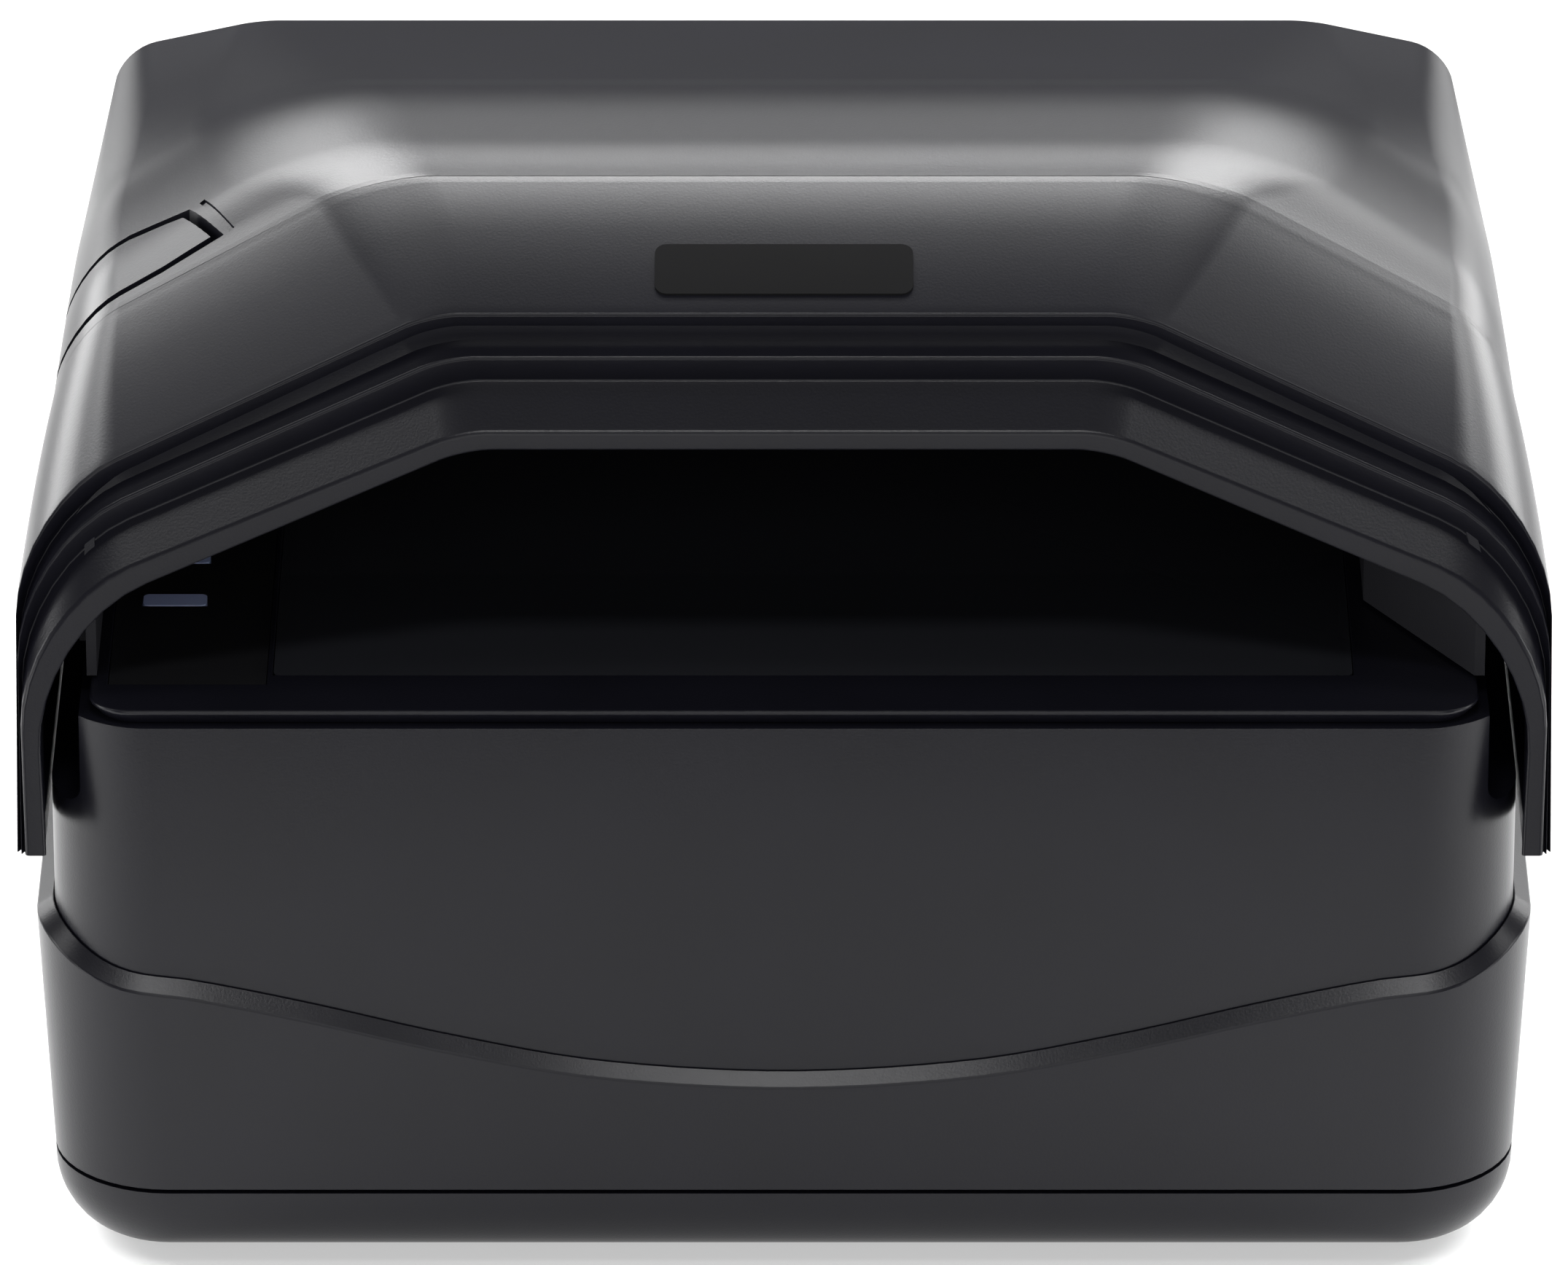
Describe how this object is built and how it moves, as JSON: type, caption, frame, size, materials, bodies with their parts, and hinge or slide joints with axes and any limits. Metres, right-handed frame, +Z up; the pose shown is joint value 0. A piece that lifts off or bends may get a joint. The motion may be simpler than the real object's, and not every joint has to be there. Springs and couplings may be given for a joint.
{
  "type": "passport reader",
  "caption": "Desktop full-page document reader: glass scan window in a rounded casing under an arched dark hood that lifts off after a side tab is pressed.",
  "frame": {"origin": "middle of the footprint on the desk, level with the bottoms of the rubber feet", "axes": "front faces -Y, +X to the user's right, +Z up"},
  "size_m": [0.1818, 0.1468, 0.1259],
  "materials": {
    "shell_plastic": "satin moulded charcoal plastic",
    "liner_plastic": "fine matt charcoal plastic",
    "name_plate": "bare satin black plate",
    "scan_glass": "polished tinted glass",
    "status_panel": "glossy black panel",
    "light_pipe": "milky blue-grey light pipe",
    "soft_rubber": "matt black rubber",
    "steel": "bright plated steel",
    "socket_shell": "folded plated steel",
    "black_plastic": "matt black plastic",
    "circuit_board": "green solder mask",
    "chip": "matt chip package",
    "bare_aluminium": "milled aluminium",
    "black_aluminium": "black anodised aluminium",
    "mirror_face": "front-silvered mirror",
    "lens_glass": "coated lens glass",
    "emitter": "clear emitter package",
    "diffuser": "milky white diffuser",
    "flat_cable": "amber polyimide film"
  },
  "bodies": {
    "casing": {"lower_shell": "shell_plastic", "upper_shell": "shell_plastic", "base_tray": "shell_plastic", "scan_bezel": "shell_plastic", "scan_glass": "scan_glass", "status_panel": "status_panel", "status_light_pipes": "light_pipe", "rubber_feet": "soft_rubber", "glass_gasket": "soft_rubber", "base_screws": "steel", "board_screws": "steel", "data_socket": "socket_shell", "optical_chamber": "black_plastic", "power_inlet": "black_plastic", "rear_connector_panel": "black_plastic", "buzzer": "black_plastic", "board_headers": "black_plastic", "chamber_spacers": "black_plastic", "camera_posts": "black_plastic", "lens_mount": "black_plastic", "main_board": "circuit_board", "camera_board": "circuit_board", "antenna_board": "circuit_board", "light_boards": "circuit_board", "status_board": "circuit_board", "processor": "chip", "image_sensor": "chip", "heat_spreader": "bare_aluminium", "mirror_bracket": "bare_aluminium", "lens_barrel": "black_aluminium", "lens_lock_ring": "black_aluminium", "fold_mirror": "mirror_face", "lens_element": "lens_glass", "light_emitters": "emitter", "status_lights": "emitter", "light_diffusers": "diffuser", "camera_ribbon": "flat_cable", "status_ribbon": "flat_cable"},
    "hood": {"hood_shell": "shell_plastic", "hood_liner": "liner_plastic", "liner_screws": "steel", "name_plate": "name_plate", "tab_pin": "steel", "tab_spring": "steel"},
    "tab": {"release_tab": "shell_plastic"}
  },
  "joints": [
    {"name": "hood_lift", "type": "slide", "parent": "casing", "child": "hood", "axis": [0, 0, 1], "range_m": [0, 0.02]},
    {"name": "tab_press", "type": "hinge", "parent": "hood", "child": "tab", "pos_m": [-0.0795, -0.0247, 0.1015], "axis": [0, 1, 0], "range_deg": [0, 2.2], "stiffness_Nm_per_rad": 0.3}
  ]
}
